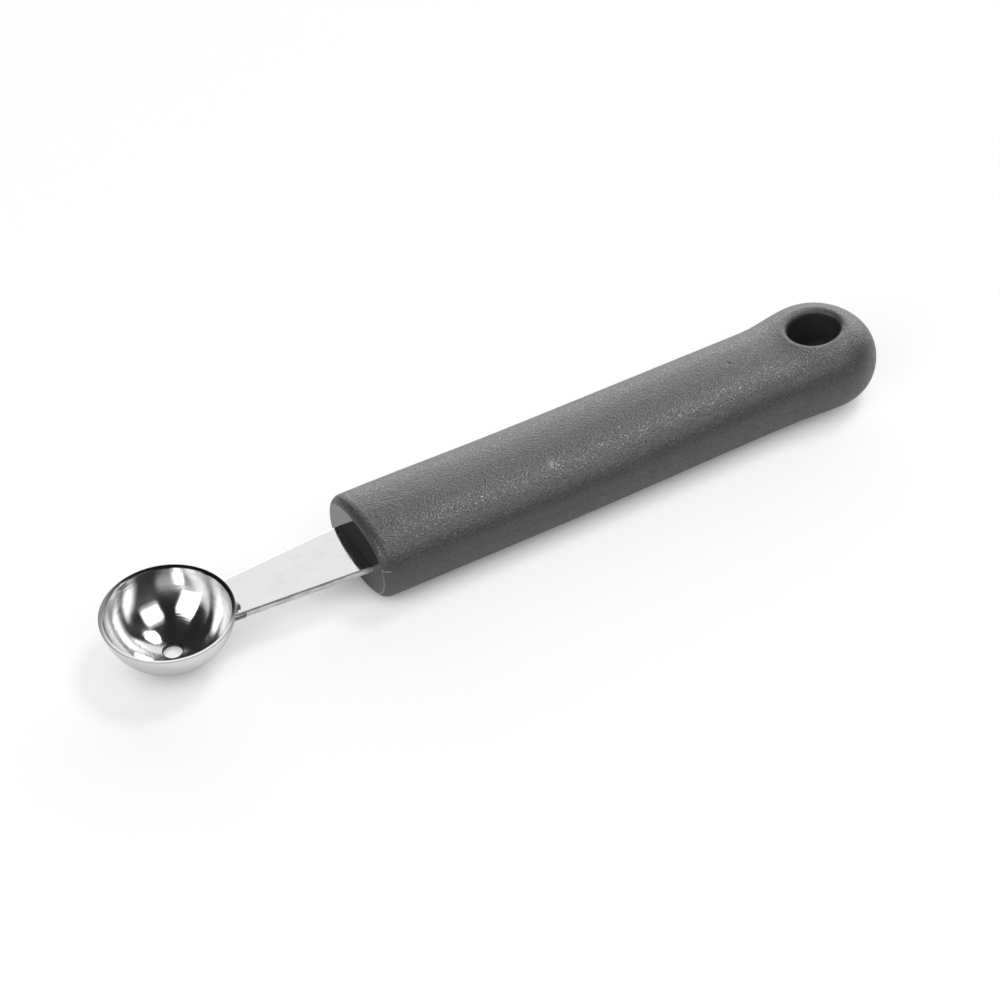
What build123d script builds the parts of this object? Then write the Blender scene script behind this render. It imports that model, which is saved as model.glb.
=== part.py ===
from build123d import *
from math import asin, degrees, sqrt
import os

# Melon baller: a pressed steel cup welded to a flat steel strip, with a plastic handle moulded round the
# strip's tang. Millimetres, +Z up, lying as it lies on a table. +X runs from the cup to the handle's tail.

# Cup
rim_diameter = 25.0
cup_depth = 10.9
cup_wall = 0.75
rim_edge_break = 0.12
vent_diameter = 3.6
vent_edge_break = 0.1

# Strip: the blade that shows, and the tang that the handle hides
strip_thickness = 1.5
blade_width_at_cup = 9.3
blade_width_at_handle = 13.0
blade_edge_round = 0.15
cup_to_handle = 38.6
rim_above_blade = 2.65
tang_length = 46.0
tang_end_round = 3.0
tang_hole_diameter = 5.0
tang_hole_pitch = 15.0
tang_hole_count = 2
first_tang_hole_x = 16.0

# Weld beads: on each side of the strip, one on its top and one on its edge
top_bead_radius = 1.1
top_bead_from_joint = 0.5
top_bead_from_edge = 0.75
edge_bead_radius = 0.55
edge_bead_length = 2.5

# Handle
handle_length = 117.7
front_width = 23.9
middle_width = 23.9
waist_width = 22.8
bulb_width = 24.7
front_height = 16.2
middle_height = 15.6
waist_height = 16.4
bulb_height = 17.6
nose_length = 4.0
nose_edge_round = 2.1
nose_skim = 0.12
hang_hole_length = 11.1
hang_hole_width = 9.3
hang_hole_mouth_round = 1.3
hang_hole_before_bulb = 0.95

# Shares
# How far a section's curves reach out to the corners of the box round it: 0.5523 would be an ellipse.
section_fullness_share = 0.64
# Where the grip's middle and its waist lie between the front face and the bulb's widest section
middle_share = 0.37
waist_share = 0.884

# The grip is lofted through this many evenly spaced ovals, and a few more past each end.
grip_steps = 21
spare_steps = 2

# Every cut runs past the material by this much.
overrun = 1.0

# Derived places. The drawing's zero is the middle of the handle's front face.
rim_radius = rim_diameter / 2
vent_radius = vent_diameter / 2
strip_top = strip_thickness / 2
strip_bottom = -strip_top
rim_level = strip_top + rim_above_blade
# Each side of the blade moves out by this much for each millimetre along it.
side_slope = (blade_width_at_handle - blade_width_at_cup) / (cup_to_handle - rim_radius) / 2
# The cup is less than half a ball, so the ball's centre lies a little above the rim.
cup_outer_radius = (rim_radius**2 + cup_depth**2) / (2 * cup_depth)
cup_inner_radius = cup_outer_radius - cup_wall
centre_above_rim = cup_outer_radius - cup_depth
cup_axis = Pos(-cup_to_handle, 0, rim_level)
cup_ball = cup_axis * Pos(0, 0, centre_above_rim) * Sphere(cup_outer_radius)
underside = -front_height / 2
bulb_x = handle_length - bulb_width / 2
hang_hole_x = bulb_x - hang_hole_before_bulb


def wall_arc(radius):
    """One side of the cup's wall, from the rim down to the vent."""
    rim_angle = -degrees(asin(centre_above_rim / radius))
    vent_angle = degrees(asin(vent_radius / radius)) - 90
    return CenterArc((0, centre_above_rim), radius, rim_angle, vent_angle - rim_angle)


def scoop_bowl():
    """A cup pressed from sheet, ground flat at the rim and pierced by one vent, with its edges broken."""
    outside = wall_arc(cup_outer_radius)
    inside = wall_arc(cup_inner_radius)
    rim_land = Line(outside @ 0, inside @ 0)
    vent_wall = Line(outside @ 1, inside @ 1)
    wall = make_face([outside, rim_land, inside, vent_wall])
    wall = chamfer(wall.vertices().sort_by(Axis.Y)[-2:], rim_edge_break)
    wall = chamfer(wall.vertices().sort_by(Axis.X)[:2], vent_edge_break)
    return cup_axis * revolve(Plane.XZ * wall, Axis.Z)


def blade_half_width(x):
    return blade_width_at_handle / 2 + side_slope * x


def shank():
    """A flat strip: a blade that widens to the handle, and a tang punched for the handle's plastic."""
    inner_half = blade_half_width(-cup_to_handle)
    tang_half = blade_half_width(0)
    corners = [
        (-cup_to_handle, -inner_half),
        (0, -tang_half),
        (0, tang_half),
        (-cup_to_handle, inner_half),
    ]
    blade = extrude(Pos(0, 0, strip_bottom) * make_face(Polyline(*corners, close=True)), strip_thickness)
    # The tumbled blade has no sharp edge along its sides.
    sides = blade.faces().sort_by(Axis.Y)
    long_edges = (sides[0].edges() + sides[-1].edges()).filter_by(Axis.Z, reverse=True)
    blade = fillet(long_edges, blade_edge_round)
    tang = Pos(tang_length / 2, 0) * Rectangle(tang_length, 2 * tang_half)
    tang = fillet(tang.vertices().sort_by(Axis.X)[-2:], tang_end_round)
    for index in range(tang_hole_count):
        tang -= Pos(first_tang_hole_x + index * tang_hole_pitch, 0) * Circle(tang_hole_diameter / 2)
    # The blade's end is coped to the cup's outer wall.
    return blade + extrude(Pos(0, 0, strip_bottom) * tang, strip_thickness) - cup_ball


def joint_radius(level):
    """The cup's outer radius, seen from above, where the strip meets it at a level."""
    return sqrt(cup_outer_radius**2 - (rim_level + centre_above_rim - level) ** 2)


def top_weld_bead(side):
    """A dome of weld metal in the corner between the cup's wall and the strip's top."""
    y = blade_width_at_cup / 2 - top_bead_from_edge - top_bead_radius
    x = sqrt((joint_radius(strip_top) + top_bead_from_joint) ** 2 - y**2) - cup_to_handle
    ball = Pos(x, side * y, strip_top) * Sphere(top_bead_radius)
    return split(ball, bisect_by=Plane.XY.offset(strip_top), keep=Keep.TOP) - cup_ball


def edge_weld_bead(side, strip):
    """A short round bead that runs out from the joint along the strip's edge."""
    inner_half = blade_half_width(-cup_to_handle)
    joint_x = sqrt(joint_radius(0) ** 2 - inner_half**2) - cup_to_handle
    end_x = joint_x + edge_bead_length - edge_bead_radius
    start = (-cup_to_handle, side * inner_half)
    end = (end_x, side * blade_half_width(end_x))
    path = Line(start, end)
    bead = Plane(origin=start, z_dir=path % 0) * Cylinder(
        edge_bead_radius, path.length, align=(Align.CENTER, Align.CENTER, Align.MIN)
    )
    bead += Pos(*end) * Sphere(edge_bead_radius)
    return bead - cup_ball - strip


def eased(x, places, sizes):
    """The size at x, which eases from one named size to the next and is level at each named place."""
    x = min(max(x, places[0]), places[-1])
    for start, end, first, last in zip(places, places[1:], sizes, sizes[1:]):
        if x <= end:
            travel = (x - start) / (end - start)
            return first + (last - first) * travel**2 * (3 - 2 * travel)


def oval_section(x):
    """A rounded oval across the grip, standing on the level underside."""
    places = [nose_length, middle_share * bulb_x, waist_share * bulb_x, bulb_x]
    width = eased(x, places, [front_width, middle_width, waist_width, bulb_width])
    height = eased(x, places, [front_height, middle_height, waist_height, bulb_height])
    ends = [Vector(width / 2, 0), Vector(0, height / 2), Vector(-width / 2, 0), Vector(0, -height / 2)]
    curves = []
    for start, end in zip(ends, ends[1:] + ends[:1]):
        start_pull = start + end * section_fullness_share
        end_pull = end + start * section_fullness_share
        curves.append(Bezier(start, start_pull, end_pull, end))
    return Plane(origin=(x, 0, underside + height / 2), x_dir=(0, 1, 0), z_dir=(1, 0, 0)) * make_face(curves)


def grip_and_tail():
    """The grip, lofted through its ovals, and the round tail, which is the last oval swung round."""
    step = (bulb_x - nose_length) / grip_steps
    # The spare ovals keep the grip level where the nose and the tail join it, and are cut away.
    stations = range(-spare_steps, grip_steps + spare_steps + 1)
    grip = loft([oval_section(nose_length + index * step) for index in stations])
    grip = split(grip, bisect_by=Plane.YZ.offset(nose_length), keep=Keep.TOP)
    grip = split(grip, bisect_by=Plane.YZ.offset(bulb_x), keep=Keep.BOTTOM)
    half_oval = split(oval_section(bulb_x), bisect_by=Plane.XZ, keep=Keep.TOP)
    tail = revolve(half_oval, Axis((bulb_x, 0, 0), (0, 0, 1)), 180)
    return grip + tail


def with_hang_hole(body):
    """The body with an upright oval hole through the bulb, its mouths rounded over."""
    half_turn = 180
    half_throat = EllipticalCenterArc(
        (0, 0), hang_hole_length / 2, hang_hole_width / 2, start_angle=0, arc_size=half_turn
    )
    throat = make_face([half_throat, Rot(0, 0, half_turn) * half_throat])
    body -= extrude(Pos(hang_hole_x, 0, underside - overrun) * throat, bulb_height + 2 * overrun)
    hole_wall = body.faces().filter_by(GeomType.EXTRUSION)
    mouths = hole_wall.edges().filter_by(GeomType.BSPLINE)
    return fillet(mouths, hang_hole_mouth_round)


def nose():
    """The grip's front end: fully rounded over, then skimmed flat so that the face keeps a crisp edge."""
    blank = extrude(Pos(-nose_skim, 0, 0) * oval_section(0), nose_length + nose_skim)
    blank = fillet(blank.faces().sort_by(Axis.X)[0].edges(), nose_edge_round)
    return split(blank, bisect_by=Plane.YZ, keep=Keep.TOP)


def handle(strip):
    """One moulding, whose plastic closes round the tang and fills the tang's holes."""
    return with_hang_hole(grip_and_tail()) + nose() - strip


def placed(shape):
    """The piece moved from the drawing's zero to the part's own, under the middle of its whole length."""
    middle_x = (handle_length - cup_to_handle - rim_radius) / 2
    return Pos(-middle_x, 0, -underside) * shape


strip = shank()
pieces = {
    "scoop_bowl": scoop_bowl(),
    "shank": strip,
    "handle": handle(strip),
}
for side, name in ((1, "left"), (-1, "right")):
    pieces[f"top_bead_{name}"] = top_weld_bead(side)
    pieces[f"edge_bead_{name}"] = edge_weld_bead(side, strip)

os.makedirs("parts", exist_ok=True)
for name, piece in pieces.items():
    export_step(placed(piece), f"parts/{name}.step")
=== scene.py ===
# %% [markdown]
# # A melon baller, finished and lit as in its photograph
#
# The part comes packed from CAD: a steel cup, a flat steel strip, four small weld beads and a moulded
# plastic handle, in metres, lying on the table. The lesson loads it as a fixed frame. It gives each
# piece the surface that the real one has, spins the cup again with finer edges, and then builds the
# small studio that the polished steel reflects.

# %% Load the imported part
from math import acos, asin, cos, pi, radians, sin, tan

import bmesh
import bpy
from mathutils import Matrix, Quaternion, Vector


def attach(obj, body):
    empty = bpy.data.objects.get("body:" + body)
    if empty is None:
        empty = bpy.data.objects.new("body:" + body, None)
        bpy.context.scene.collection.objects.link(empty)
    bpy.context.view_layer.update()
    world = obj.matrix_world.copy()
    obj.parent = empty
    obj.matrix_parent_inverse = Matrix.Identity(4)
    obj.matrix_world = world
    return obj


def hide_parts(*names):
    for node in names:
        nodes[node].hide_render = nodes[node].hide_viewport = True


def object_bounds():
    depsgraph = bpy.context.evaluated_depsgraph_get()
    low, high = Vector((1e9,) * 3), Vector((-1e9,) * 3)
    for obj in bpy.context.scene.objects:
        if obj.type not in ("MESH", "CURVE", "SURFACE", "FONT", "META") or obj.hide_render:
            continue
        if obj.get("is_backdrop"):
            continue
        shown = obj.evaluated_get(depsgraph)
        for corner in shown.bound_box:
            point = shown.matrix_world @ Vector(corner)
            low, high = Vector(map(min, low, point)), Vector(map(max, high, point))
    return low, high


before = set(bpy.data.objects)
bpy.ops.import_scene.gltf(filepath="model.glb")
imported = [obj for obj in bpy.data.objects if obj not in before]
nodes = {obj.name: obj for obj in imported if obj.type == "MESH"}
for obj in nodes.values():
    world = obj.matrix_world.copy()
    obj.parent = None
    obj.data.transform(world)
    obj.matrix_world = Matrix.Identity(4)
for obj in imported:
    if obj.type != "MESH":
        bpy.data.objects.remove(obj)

MM = 0.001
cad_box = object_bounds()


def in_mm(lengths):
    """Lengths in metres as rounded millimetres, for printing."""
    return [round(length / MM, 2) for length in lengths]


print("CAD nodes:", ", ".join(sorted(nodes)))
print("CAD box in mm:", [in_mm(corner) for corner in cad_box])

# %% [markdown]
# ## Writing a finish as plain sums
#
# Every finish here is a small tree of shader nodes. A tree can be wired by hand, but its sums then hide
# in dozens of links. A signal wraps one socket and answers to Python's own signs, so that a mask is
# written as 1 - edge * 0.3.

# %% A signal
class Signal:
    """What one socket gives, for sums in plain Python."""

    def __init__(self, shading, socket):
        self.shading = shading
        self.socket = socket

    def math(self, operation, first, second=0.0):
        return self.shading.node("ShaderNodeMath", {"operation": operation}, {0: first, 1: second})

    def __add__(self, other):
        return self.math("ADD", self, other)

    def __sub__(self, other):
        return self.math("SUBTRACT", self, other)

    def __rsub__(self, other):
        return self.math("SUBTRACT", other, self)

    def __mul__(self, other):
        return self.math("MULTIPLY", self, other)

    def __truediv__(self, other):
        return self.math("DIVIDE", self, other)

    def __pow__(self, other):
        return self.math("POWER", self, other)

    def __abs__(self):
        return self.math("ABSOLUTE", self)

    def at_most(self, limit):
        return self.math("MINIMUM", self, limit)

# %% [markdown]
# A shading holds one node tree. One method adds every kind of node. It sets the node's options first,
# because they decide which sockets there are, and then the sockets, each to a plain value or to a
# signal. The other methods are short names for what both the finishes and the room need. A material's
# tree works on the place on the piece, and the room's on the direction in which a ray goes.

# %% A shading
class Shading:
    """A shader's node tree, written one node at a time."""

    def __init__(self, tree, shader, coordinates):
        self.tree = tree
        self.shader = tree.nodes[shader]
        self.place = self.node("ShaderNodeTexCoord", {}, {}, give=coordinates)

    def node(self, kind, settings, inputs, give=0):
        """Adds one node and returns the signal of the socket named by give."""
        node = self.tree.nodes.new(kind)
        for name, value in settings.items():
            setattr(node, name, value)
        for name, value in inputs.items():
            self.feed(node.inputs[name], value)
        return Signal(self, node.outputs[give])

    def feed(self, socket, value):
        """Links a socket to a signal, or sets it to a plain value."""
        if isinstance(value, Signal):
            self.tree.links.new(value.socket, socket)
        else:
            socket.default_value = value

    def set(self, **values):
        """Feeds the shader's own sockets. An underscore in a name stands for a space."""
        for name, value in values.items():
            self.feed(self.shader.inputs[name.replace("_", " ")], value)

    def axes(self):
        """The place's x, y and z as three signals."""
        x = self.node("ShaderNodeSeparateXYZ", {}, {"Vector": self.place})
        return [Signal(self, output) for output in x.socket.node.outputs]

    def step(self, signal, start, end, first=0.0, last=1.0):
        """Eases from the first value to the last as the signal goes from start to end."""
        inputs = {
            "Value": signal,
            "From Min": start,
            "From Max": end,
            "To Min": first,
            "To Max": last,
        }
        return self.node("ShaderNodeMapRange", {"interpolation_type": "SMOOTHSTEP"}, inputs)

    def fall(self, signal, start, end):
        """Eases from 1 down to 0 as the signal goes from start to end."""
        return self.step(signal, start, end, first=1.0, last=0.0)

# %% [markdown]
# A finish is the shading of a new material. It measures the place in millimetres, so that every size in
# the lesson can be compared with the real tool.

# %% A finish
class Finish(Shading):
    """A material under construction."""

    def __init__(self, name):
        self.material = bpy.data.materials.new(name)
        self.material.use_nodes = True
        super().__init__(self.material.node_tree, "Principled BSDF", coordinates="Object")
        inputs = {"Vector": self.place, "Scale": 1 / MM}
        self.place = self.node("ShaderNodeVectorMath", {"operation": "SCALE"}, inputs)

    def noise(self, vector, scale, detail, roughness):
        """Soft random values between 0 and 1, in patches about 1 / scale across."""
        inputs = {"Vector": vector, "Scale": scale, "Detail": detail, "Roughness": roughness}
        return self.node("ShaderNodeTexNoise", {}, inputs)

    def patches(self, sizes, detail=2.0, roughness=0.5):
        """Noise in patches of about the given sizes, in millimetres along x, y and z."""
        scale = [1 / size for size in sizes]
        stretched = self.node("ShaderNodeMapping", {}, {"Vector": self.place, "Scale": scale})
        return self.noise(stretched, 1.0, detail, roughness)

    def distance(self, point):
        """How far the place is from a point, in millimetres."""
        inputs = {0: self.place, 1: point}
        return self.node("ShaderNodeVectorMath", {"operation": "DISTANCE"}, inputs, give="Value")

    def blend(self, factor, first, second):
        """A colour between two colours."""
        inputs = {"Factor": factor, "A": first, "B": second}
        return self.node("ShaderNodeMix", {"data_type": "RGBA"}, inputs, give="Result")

    def bumped(self, height, depth):
        """The surface's normal, tilted by a height whose unit stands for a depth in millimetres."""
        return self.node("ShaderNodeBump", {}, {"Height": height, "Distance": depth * MM})

    def done(self):
        """Says what was made, and returns the material."""
        print("Made", self.material.name, "with", len(self.tree.nodes), "nodes")
        return self.material


def grey(level, warmth=0.0):
    """A grey, or with some warmth a slightly brown one, as a linear colour."""
    return (level * (1 + warmth), level, level * (1 - warmth), 1.0)

# %% [markdown]
# ## The cup's steel
#
# The cup is pressed from stainless sheet and polished to a mirror on both sides. Steel's colour is its
# reflection, so the finish is a bright metal with very little roughness. A perfect mirror looks like
# glass or plating. Real polish keeps fine rings from the polishing mop, which turns round the cup's
# axis and draws every highlight out across the rings, towards the rim. The shader's anisotropy does
# that. Its own direction runs round the Z axis, so it is turned by a quarter. A shallow bump gives the
# rings: a noise that is read by the distance from the axis and the height alone is the same all the way
# round. The steep wall on the strip's side, where the mop hardly reaches, is left hazier in streaks,
# from a noise that is read by the bearing alone. The rim is ground flat after the polishing, and its
# land is painted a darker grey, a painted dark reflection. The vent is punched last, and its lip is
# painted nearly black, a painted shade line round the vent.

# %% Polish the cup's steel
CUP_AXIS_X = -71.9
RIM_HEIGHT = 11.5
RIM_RADIUS = 12.5
RIM_SLOPE = 13.0
VENT_RADIUS = 1.8
CUP_TONE, LAND_DARK_REFLECTION_TONE, LIP_SHADE_TONE = grey(0.72), grey(0.26), grey(0.05)
MIRROR_ROUGHNESS, RING_ROUGHNESS = 0.07, 0.08
THIN_HAZE, THICK_HAZE = 0.05, 0.14
HIGHLIGHT_PULL, QUARTER_TURN = 0.8, 0.25
RING_DEPTH = 0.03


def polished_cup_steel():
    steel = Finish("cup_steel")
    x, y, z = steel.axes()
    across = x - CUP_AXIS_X
    from_axis = (across ** 2 + y ** 2) ** 0.5
    rings = steel.node("ShaderNodeCombineXYZ", {}, {"X": from_axis, "Z": z})
    mop_marks = steel.noise(rings, scale=2.2, detail=4.0, roughness=0.6)

    wall = steel.step(from_axis, 8.0, 11.0) * steel.fall(z, RIM_HEIGHT - 0.5, RIM_HEIGHT - 0.3)
    strip_side = steel.step(across, -4.0, 4.0, first=0.1)
    outward = {"X": across / from_axis, "Y": y / from_axis}
    bearing = steel.node("ShaderNodeCombineXYZ", {}, outward)
    streaks = steel.noise(bearing, scale=4.0, detail=3.0, roughness=0.5)
    haze = steel.step(streaks, 0.35, 0.65, first=THIN_HAZE, last=THICK_HAZE)
    roughness = mop_marks * RING_ROUGHNESS + wall * strip_side * haze + MIRROR_ROUGHNESS

    # The rim's land and the vent's lip are painted darker: a painted dark reflection on the land, and a
    # painted shade line on the lip.
    above_land = z - RIM_HEIGHT - (from_axis - RIM_RADIUS) * tan(radians(RIM_SLOPE))
    land_dark_reflection = steel.step(above_land, -0.1, -0.05)
    lip_shade = steel.fall(from_axis, VENT_RADIUS + 0.16, VENT_RADIUS + 0.26)
    tone = steel.blend(lip_shade, steel.blend(land_dark_reflection, CUP_TONE, LAND_DARK_REFLECTION_TONE), LIP_SHADE_TONE)
    steel.set(Base_Color=tone, Metallic=1.0, Roughness=roughness)
    steel.set(Anisotropic=HIGHLIGHT_PULL, Anisotropic_Rotation=QUARTER_TURN)
    steel.set(Normal=steel.bumped(mop_marks, RING_DEPTH))
    return steel.done()


cup_steel = polished_cup_steel()

# %% [markdown]
# ## The strip's steel
#
# The strip is blanked from flat bar and tumbled bright, then rubbed along its length. Its top mirrors
# nearly as sharply as the cup, mostly along the grain: long thin noise gives the grain, and faint broad
# patches the smudges of handling. The sides were sheared in the blanking press, so they are duller and
# streaky. Along the top of each side runs a painted dark band of wandering width, a painted dark
# reflection of the strip's rounded top edge. How far a point lies from the strip's edge tells the top
# and the sides apart, and because the strip widens towards the handle, its half width is a sum of its own.

# %% Finish the strip's steel
FRONT_FACE_X = -33.3
STRIP_TOP = 8.85
STRIP_HALF_WIDTH = 6.5
STRIP_SIDE_SLOPE = 0.0709
TOP_TONE, SMUDGE_TONE = grey(0.78), grey(0.74)
DULL_SHEAR_TONE, BRIGHT_SHEAR_TONE, EDGE_REFLECTION_TONE = grey(0.42), grey(0.66), grey(0.2)
CLEAN_ROUGHNESS, SMUDGE_ROUGHNESS, GRAIN_ROUGHNESS = 0.04, 0.08, 0.03
BURNISHED_ROUGHNESS, SHEAR_ROUGHNESS = 0.25, 0.2
EDGE_REFLECTION_WANDER = 1.4
SHEAR_DEPTH, GRAIN_SHARE = 0.006, 0.3


def tumbled_strip_steel():
    steel = Finish("strip_steel")
    x, y, z = steel.axes()
    half_width = (x - FRONT_FACE_X) * STRIP_SIDE_SLOPE + STRIP_HALF_WIDTH
    side = steel.step(abs(y) - half_width, -0.12, -0.03)

    grain = steel.patches((9.0, 0.12, 0.12), detail=3.0)
    smudges = steel.patches((4.0, 2.5, 2.5), detail=4.0, roughness=0.6)
    top_tone = steel.blend(steel.step(smudges, 0.4, 0.75), TOP_TONE, SMUDGE_TONE)
    top_roughness = steel.step(smudges, 0.4, 0.7, first=CLEAN_ROUGHNESS, last=SMUDGE_ROUGHNESS)
    top_roughness = top_roughness + grain * GRAIN_ROUGHNESS

    shear = steel.patches((2.5, 0.3, 0.3), detail=3.0, roughness=0.6)
    # A dark band of wandering width along the top of each side is painted: a painted dark reflection of the
    # rounded top edge.
    wander = steel.patches((7.0, 7.0, 7.0))
    edge_reflection = steel.step(z + wander * EDGE_REFLECTION_WANDER, STRIP_TOP + 0.3, STRIP_TOP + 0.45)
    side_tone = steel.blend(steel.step(shear, 0.35, 0.65), DULL_SHEAR_TONE, BRIGHT_SHEAR_TONE)
    side_tone = steel.blend(edge_reflection, side_tone, EDGE_REFLECTION_TONE)
    side_roughness = shear * SHEAR_ROUGHNESS + BURNISHED_ROUGHNESS

    steel.set(Base_Color=steel.blend(side, top_tone, side_tone), Metallic=1.0)
    steel.set(Roughness=top_roughness * (1 - side) + side_roughness * side)
    relief = grain * (1 - side) * GRAIN_SHARE + shear * side
    steel.set(Normal=steel.bumped(relief, SHEAR_DEPTH))
    return steel.done()


strip_steel = tumbled_strip_steel()

# %% [markdown]
# ## The weld beads
#
# The beads are steel that has melted and set again. Nobody polished them, so they are dull, a little
# dark and brown from the heat, and rippled. One noise decides where scale covers the bare metal, and
# sets the tone and the roughness together.

# %% Finish the weld metal
SCALE_TONE, BARE_WELD_TONE = grey(0.12, 0.04), grey(0.3, 0.01)
SCALE_ROUGHNESS, BARE_WELD_ROUGHNESS = 0.5, 0.3
RIPPLE_DEPTH = 0.04


def heat_dulled_weld():
    weld = Finish("weld_metal")
    scale = weld.patches((0.8, 0.8, 0.8), detail=4.0, roughness=0.7)
    ripples = weld.patches((0.35, 0.35, 0.35))
    tone = weld.blend(weld.step(scale, 0.35, 0.65), SCALE_TONE, BARE_WELD_TONE)
    roughness = weld.step(scale, 0.3, 0.7, first=SCALE_ROUGHNESS, last=BARE_WELD_ROUGHNESS)
    weld.set(Base_Color=tone, Metallic=1.0, Roughness=roughness)
    weld.set(Normal=weld.bumped(ripples, RIPPLE_DEPTH))
    return weld.done()


weld_metal = heat_dulled_weld()

# %% [markdown]
# ## The handle's plastic
#
# The plastic itself is a dark grey, as its smooth places show: the flat front face, which comes off a
# polished plate, and the hang hole's wall, which comes off a polished pin. The grip looks much paler,
# because its mould was spark eroded. That leaves a fine pebbled skin, which spreads the studio's light
# over the whole grip as a satin sheen and breaks it into thousands of small glints, where single
# pebbles are smoother than the rest. So two masks come first: how far a point is off the plate, and how
# far off the pin, whose oval is an ellipse's own equation.

# %% Mask the polished places
HANG_HOLE_X = 71.1
PIN_HALF_LENGTH, PIN_HALF_WIDTH = 5.72, 4.82


def off_the_plate(plastic, x):
    """0 on the flat front face and 1 behind it."""
    return plastic.step(x, FRONT_FACE_X + 0.01, FRONT_FACE_X + 0.05)


def from_the_pin(x, y):
    """0 on the hang hole's axis, 1 on the polished pin's outline, and more outside it."""
    return ((x - HANG_HOLE_X) / PIN_HALF_LENGTH) ** 2 + (y / PIN_HALF_WIDTH) ** 2

# %% [markdown]
# Wear and moulding leave their own marks, and one highlight is painted. The front face's crisp edge is
# painted pale in a thin band, most of all low down, a painted highlight along the edge. The edge has one
# short nick. The top has one pale scuff, where only the pebbles' tops are rubbed, and one dark pit.
# Where the mould's halves met, a hair-fine line runs along each side at the grip's widest height.

# %% Mark the wear, the edge's painted highlight and the mould's seam
NICK_HEIGHT = 10.8
SCUFF = (6.5, -5.53, 14.98)
PARTING_HEIGHT = 8.45


def rubbed_places_and_edge_highlight(plastic, x, y, z, pebbles):
    """1 where the plastic is rubbed pale, and along the front face's edge, where a highlight is painted
    pale.
    """
    # The front face's edge is a painted highlight, paler low down.
    edge = plastic.fall(x, FRONT_FACE_X + 0.1, FRONT_FACE_X + 0.16)
    edge = edge * plastic.step(z, 8.0, 12.0, first=1.0, last=0.2)
    nick = plastic.fall(abs(z - NICK_HEIGHT), 0.06, 0.16) * plastic.fall(y, -1.0, 0.0)
    nick = nick * plastic.fall(x, FRONT_FACE_X + 1.2, FRONT_FACE_X + 1.6)
    scuff = plastic.step(plastic.distance(SCUFF), 0.4, 1.6, first=0.9, last=0.0)
    scuff = scuff * plastic.step(pebbles, 0.4, 0.55)
    return (edge + nick) * off_the_plate(plastic, x) + scuff


def parting_line(plastic, z):
    """1 on the seam between the mould's halves."""
    return plastic.fall(abs(z - PARTING_HEIGHT), 0.05, 0.12)

# %% [markdown]
# The finish then puts the masks together. Tone, roughness and bump all follow the same pebbles, which
# is what makes them read as one skin.

# %% Finish the handle's plastic
PIT = (50.5, 0.0, 16.34)
DARK_SKIN_TONE, PALE_SKIN_TONE = grey(0.03), grey(0.07)
PLATE_TONE, RUBBED_AND_HIGHLIGHT_TONE, PIT_TONE = grey(0.04), grey(0.22), grey(0.01)
PLATE_ROUGHNESS = 0.12
SKIN_ROUGHNESS, GLINT_GLOSS = 0.36, 0.28
SHEEN = 0.72
PEBBLE_DEPTH, PARTING_SHARE, PIT_SHARE = 0.13, 0.25, 1.5


def spark_eroded_plastic():
    plastic = Finish("handle_plastic")
    x, y, z = plastic.axes()
    from_pin = from_the_pin(x, y)
    eroded = off_the_plate(plastic, x) * plastic.step(from_pin, 0.95, 1.02)

    pebbles = plastic.patches((0.4, 0.4, 0.4), detail=1.5, roughness=0.6)
    mottle = plastic.patches((6.0, 3.0, 3.0), detail=4.0, roughness=0.6)
    paleness = plastic.step(pebbles, 0.3, 0.7) * 0.5 + mottle * 0.5
    skin = plastic.blend(paleness, DARK_SKIN_TONE, PALE_SKIN_TONE)
    skin = plastic.blend(eroded, PLATE_TONE, skin)
    pit = plastic.fall(plastic.distance(PIT), 0.1, 0.5)
    # The rubbed places and the edge's painted highlight are pale.
    tone = plastic.blend(rubbed_places_and_edge_highlight(plastic, x, y, z, pebbles), skin, RUBBED_AND_HIGHLIGHT_TONE)
    plastic.set(Base_Color=plastic.blend(pit, tone, PIT_TONE), Specular_IOR_Level=SHEEN)

    glints = plastic.step(plastic.patches((0.36, 0.36, 0.36), detail=1.0), 0.5, 0.68)
    glints = glints * plastic.step(from_pin, 1.0, 1.8)
    skin_roughness = SKIN_ROUGHNESS - glints * GLINT_GLOSS
    plastic.set(Roughness=eroded * skin_roughness + PLATE_ROUGHNESS)
    seam = parting_line(plastic, z) * eroded * PARTING_SHARE
    relief = pebbles * eroded - seam - pit * PIT_SHARE
    plastic.set(Normal=plastic.bumped(relief, PEBBLE_DEPTH))
    return plastic.done()


handle_plastic = spark_eroded_plastic()

# %% Put the finishes on the CAD pieces that stay
finish_of = {
    "shank": strip_steel,
    "handle": handle_plastic,
    "top_bead_left": weld_metal,
    "top_bead_right": weld_metal,
    "edge_bead_left": weld_metal,
    "edge_bead_right": weld_metal,
}
for name, material in finish_of.items():
    nodes[name].data.materials.clear()
    nodes[name].data.materials.append(material)
    print(name, "is finished in", material.name)

# %% [markdown]
# ## Spinning the cup
#
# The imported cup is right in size, but its facets would show in a mirror, where the smallest kink bends
# every reflection. It could be smoothed by subdivision, which would soften the rim's crisp corners too.
# The real cup is round about its axis, so it is made as a turner would make it: the outline of the wall
# is drawn once, by swinging two points round the ball's centre, and the outline is then spun round the
# axis. The outer point starts at the rim's height, and the inner one lower, because the rim was ground
# to fall a little towards the inside. That is why the rim mirrors the dark ceiling on its far side and
# the white sweep on its near side.

# %% Swing one side of the wall
BALL_CENTRE = Vector((CUP_AXIS_X, 0, 13.217))
BALL_RADIUS = 12.617
CUP_WALL = 0.75
SWING_STEPS = 80


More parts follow.
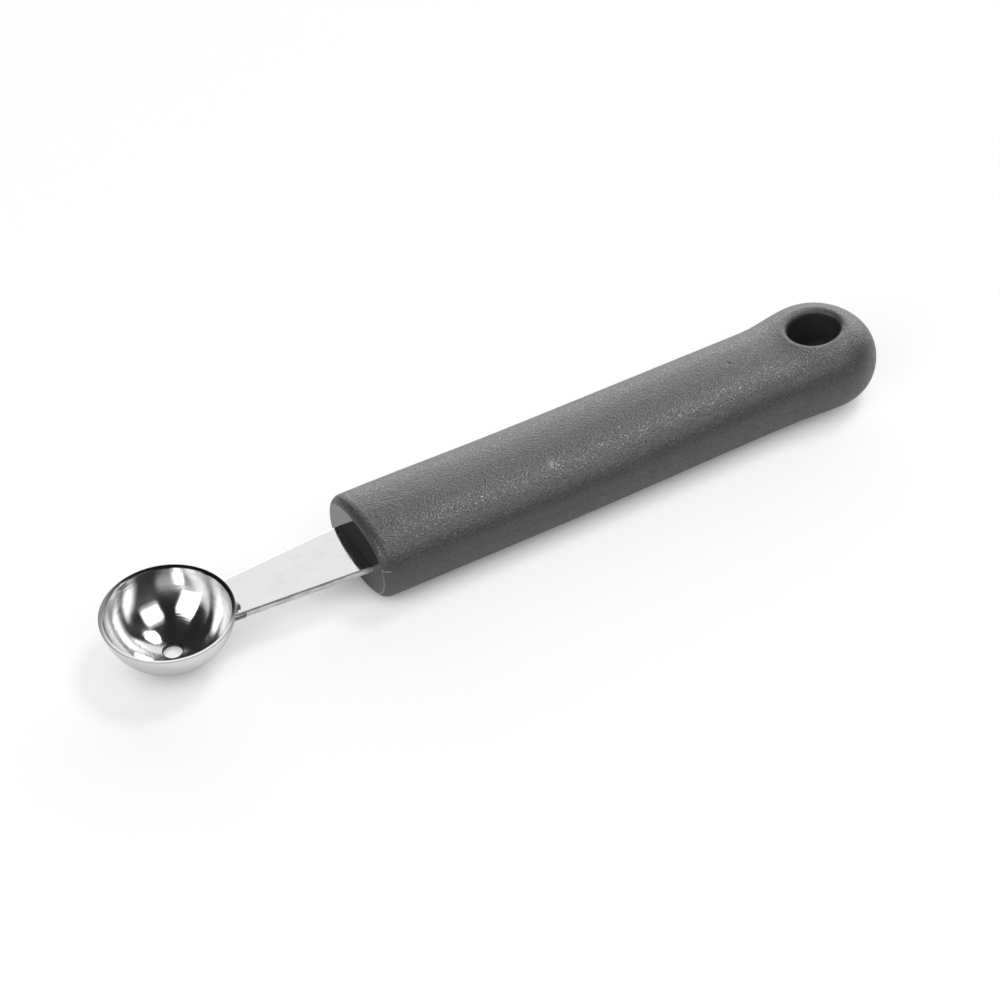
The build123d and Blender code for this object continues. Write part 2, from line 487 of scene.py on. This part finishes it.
def swung_wall(outline, radius, top):
    """Swings a point from the rim down to the vent and returns the two ends of its path."""
    rim_angle = asin((BALL_CENTRE.z - top) / radius)
    vent_angle = acos(VENT_RADIUS / radius)
    out_and_down = Vector((cos(rim_angle), 0, -sin(rim_angle)))
    rim_end = outline.verts.new((BALL_CENTRE + out_and_down * radius) * MM)
    swing = bmesh.ops.spin(
        outline,
        geom=[rim_end],
        cent=BALL_CENTRE * MM,
        axis=(0, 1, 0),
        angle=vent_angle - rim_angle,
        steps=SWING_STEPS,
    )
    vent_end = next(item for item in swing["geom_last"] if isinstance(item, bmesh.types.BMVert))
    return rim_end, vent_end


print("The wall takes", SWING_STEPS, "steps from the rim to the vent")

# %% [markdown]
# The spun wall has four sharp circles: two at the rim and two at the vent. A bevel breaks the rim's
# edges by a hair, and rounds the vent's edges over more, as the punch does. The sharp edges are found
# by the angle between their faces, so that nothing has to be counted or picked by hand.

# %% Spin the wall and break its edges
SPIN_STEPS = 240
SHARP_ANGLE = radians(45)
RIM_EDGE_BREAK = 0.05
VENT_EDGE_BREAK = 0.1


def break_edges(mesh, edges, width):
    """Rounds edges over by a width in millimetres."""
    bmesh.ops.bevel(
        mesh,
        geom=edges,
        offset=width * MM,
        affect="EDGES",
        segments=4,
        profile=0.5,
        material=-1,
    )


def spun_cup():
    mesh = bmesh.new()
    outer_rim, outer_vent = swung_wall(mesh, BALL_RADIUS, RIM_HEIGHT)
    inner_top = RIM_HEIGHT - CUP_WALL * tan(radians(RIM_SLOPE))
    inner_rim, inner_vent = swung_wall(mesh, BALL_RADIUS - CUP_WALL, inner_top)
    mesh.edges.new((outer_rim, inner_rim))
    mesh.edges.new((outer_vent, inner_vent))
    bmesh.ops.spin(
        mesh,
        geom=mesh.verts[:] + mesh.edges[:],
        cent=BALL_CENTRE * MM,
        axis=(0, 0, 1),
        angle=2 * pi,
        steps=SPIN_STEPS,
        use_merge=True,
    )
    bmesh.ops.recalc_face_normals(mesh, faces=mesh.faces)
    sharp = [edge for edge in mesh.edges if edge.calc_face_angle() > SHARP_ANGLE]
    middle = RIM_HEIGHT / 2 * MM
    rim_edges = [edge for edge in sharp if edge.verts[0].co.z > middle]
    vent_edges = [edge for edge in sharp if edge.verts[0].co.z < middle]
    break_edges(mesh, rim_edges, RIM_EDGE_BREAK)
    break_edges(mesh, vent_edges, VENT_EDGE_BREAK)
    for face in mesh.faces:
        face.smooth = True
    return mesh

# %% [markdown]
# The finished mesh becomes an object at the origin, as the CAD nodes are. It takes the imported bowl's
# place, which is hidden, carries the cup's steel, and moves with the root body.

# %% Put the cup in the scene
def as_piece(mesh, name, material):
    """Makes a finished mesh an object of the scene."""
    data = bpy.data.meshes.new(name)
    mesh.to_mesh(data)
    mesh.free()
    data.materials.append(material)
    piece = bpy.data.objects.new(name, data)
    bpy.context.scene.collection.objects.link(piece)
    return piece


cup = as_piece(spun_cup(), "polished_cup", cup_steel)
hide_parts("scoop_bowl")
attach(cup, "root")
print("The cup has", len(cup.data.polygons), "faces; its size in mm is", in_mm(cup.dimensions))

# %% [markdown]
# ## The camera
#
# The camera's place, direction and lens were solved from the outlines in the photograph. It looks down
# by 43 degrees from the cup's end, from about half a metre away, and it is turned by about one degree.
# The direction is given by a heading, from +X towards +Y, and an elevation above the table.

# %% Place the camera
AIM = Vector((-4.017, -3.455, 8.921)) * MM
CAMERA_HEADING, CAMERA_ELEVATION = 60.162, -43.172
CAMERA_DISTANCE = 480 * MM
CAMERA_ROLL = -1.144
CAMERA_LENS = 90.716


def direction(heading, elevation):
    """A unit vector from a heading and an elevation in degrees."""
    across, up = radians(heading), radians(elevation)
    return Vector((cos(across) * cos(up), sin(across) * cos(up), sin(up)))


def turned(way, axis, roll):
    """The rotation that points an object's Z or -Z axis one way and rolls it by some degrees."""
    return way.to_track_quat(axis, "Y") @ Quaternion((0, 0, 1), radians(roll))


looking = direction(CAMERA_HEADING, CAMERA_ELEVATION)
camera_data = bpy.data.cameras.new("camera")
camera_data.sensor_width = 36.0
camera_data.lens = CAMERA_LENS
camera_data.clip_start = 0.01
camera = bpy.data.objects.new("camera", camera_data)
camera.location = AIM - looking * CAMERA_DISTANCE
camera.rotation_mode = "QUATERNION"
camera.rotation_quaternion = turned(looking, "-Z", CAMERA_ROLL)
bpy.context.scene.collection.objects.link(camera)
bpy.context.scene.camera = camera
print("The camera stands at", in_mm(camera.location), "mm")

# %% [markdown]
# ## The table
#
# The tool lies on a plain white sheet that fades into the background. For light that bounces, the sheet
# is ordinary white card. The photograph was exposed so that the sheet is white with only faint shadows,
# so for the camera and for mirrors most of the card's brightness is a glow of its own: it reaches white
# without more light on the tool, and it grows with the distance, where the lamps no longer reach. The
# lamps' shadows darken the rest, and ambient occlusion takes the glow away in the narrow gap where the
# tool touches the sheet. The camera sees that gap brighter than a mirror does, because the exposure has
# pushed it towards white.

# %% Lay the table
CARD_TONE, SEEN_CARD_TONE = grey(0.9), grey(0.36)
GAP_REACH = 12 * MM
CAMERA_GAIN, MIRROR_GAIN = 1.9, 1.1
NEAR_GLOW, NEAR, FAR = 0.62, 200, 2000
TABLE_HALF_WIDTH = 3.0


def white_sheet():
    sheet = Finish("white_sheet")
    direct = sheet.node("ShaderNodeLightPath", {}, {}, give="Is Camera Ray")
    mirrored = sheet.node("ShaderNodeLightPath", {}, {}, give="Is Glossy Ray")
    seen = direct + mirrored
    card = sheet.blend(seen, CARD_TONE, SEEN_CARD_TONE)
    sheet.set(Base_Color=card, Roughness=0.9, Specular_IOR_Level=0.0)

    reach = {"Distance": GAP_REACH}
    open_above = sheet.node("ShaderNodeAmbientOcclusion", {"samples": 8}, reach, give="AO")
    gain = CAMERA_GAIN - mirrored * (CAMERA_GAIN - MIRROR_GAIN)
    exposed = (open_above * gain).at_most(1.0)
    glow = exposed * sheet.step(sheet.distance((0, 0, 0)), NEAR, FAR, first=NEAR_GLOW)
    sheet.set(Emission_Color=grey(1.0), Emission_Strength=seen * glow)
    return sheet.done()


table_mesh = bmesh.new()
bmesh.ops.create_grid(table_mesh, x_segments=1, y_segments=1, size=TABLE_HALF_WIDTH)
table = as_piece(table_mesh, "table", white_sheet())
table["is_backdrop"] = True

# %% [markdown]
# ## The lamps
#
# The polished cup shows the photographer's lamps: two square softboxes in front of the tool, one at
# each side of the camera, and a small bright lamp high behind its tail, which throws the soft shadow.
# Each lamp is an area light, aimed at the tool, as wide as it looks in the cup. The power follows from
# how bright its face should look and how large it is.

# %% Hang the lamps
LAMP_DISTANCE = 2.0
KEY_LAMP_WIDTH = 2 * tan(radians(9))


def lamp(name, heading, elevation, size, brightness, shape="RECTANGLE", turn=0.0):
    """An area light, with its width and height as they are seen from one metre away."""
    data = bpy.data.lights.new(name, "AREA")
    data.shape = shape
    data.size, data.size_y = (side * LAMP_DISTANCE for side in size)
    area = data.size * data.size_y * (pi / 4 if shape == "DISK" else 1)
    data.energy = brightness * pi * area
    light = bpy.data.objects.new(name, data)
    away = direction(heading, elevation)
    light.location = AIM + away * LAMP_DISTANCE
    light.rotation_mode = "QUATERNION"
    light.rotation_quaternion = turned(away, "Z", turn)
    light.visible_camera = False
    bpy.context.scene.collection.objects.link(light)
    print(name, "gives", round(data.energy, 1), "W")


lamp("left_softbox", heading=198.4, elevation=34.7, size=(0.63, 0.68), brightness=3.5)
lamp("right_softbox", heading=292.6, elevation=50.4, size=(0.62, 0.51), brightness=2.8, turn=-12)
key_size = (KEY_LAMP_WIDTH, KEY_LAMP_WIDTH)
lamp("key_lamp", heading=8.0, elevation=61.0, size=key_size, brightness=16.0, shape="DISK")

# %% [markdown]
# ## The room
#
# Between the lamps the cup mirrors the room: a white paper sweep behind the tool, a dark ceiling, and
# grey walls low down in front. It is a world shader that works on the direction a ray goes in, so it
# lights the tool and shows in the steel alike. The camera itself sees plain white.

# %% Paint the room
LOW_SWEEP_BRIGHTNESS, HIGH_SWEEP_BRIGHTNESS = 3.2, 1.0
WALL_BRIGHTNESS = 0.03
CEILING_BRIGHTNESS = 0.025


class Room(Shading):
    """The world's shading. Its place is the direction in which a ray goes."""

    def patch(self, heading, elevation, inner, outer):
        """1 up to the inner angle from a direction, fading to 0 at the outer angle."""
        inputs = {0: self.place, 1: direction(heading, elevation)}
        settings = {"operation": "DOT_PRODUCT"}
        nearness = self.node("ShaderNodeVectorMath", settings, inputs, give="Value")
        return self.step(nearness, cos(radians(outer)), cos(radians(inner)))


world = bpy.data.worlds.new("studio")
bpy.context.scene.world = world
world.use_nodes = True
room = Room(world.node_tree, "Background", coordinates="Generated")
height = room.axes()[2]
low, high = sin(radians(25)), sin(radians(42))
falloff = room.step(height, low, high, first=LOW_SWEEP_BRIGHTNESS, last=HIGH_SWEEP_BRIGHTNESS)
sweep = room.patch(heading=50, elevation=15, inner=36, outer=44) * falloff
below_ceiling = room.fall(height, 0.3, 0.5)
front_wall = room.patch(heading=290, elevation=0, inner=45, outer=75) * below_ceiling
brightness = sweep + front_wall * WALL_BRIGHTNESS + CEILING_BRIGHTNESS
seen = room.node("ShaderNodeLightPath", {}, {}, give="Is Camera Ray")
room.set(Color=grey(1.0), Strength=brightness * (1 - seen) + seen)
print("The room has", len(world.node_tree.nodes), "nodes")

# %% [markdown]
# ## Colour and the two boxes
#
# The Standard view shows each colour as it was written. The two boxes, of the CAD part and of the
# finished one, are kept, so that it can be seen that the finish hasn't changed the size.

# %% Finish
bpy.context.scene.view_settings.view_transform = "Standard"
boxes = {"cad": [list(corner) for corner in cad_box], "visual": [list(corner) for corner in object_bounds()]}
print("Boxes in mm:", {name: [in_mm(corner) for corner in box] for name, box in boxes.items()})
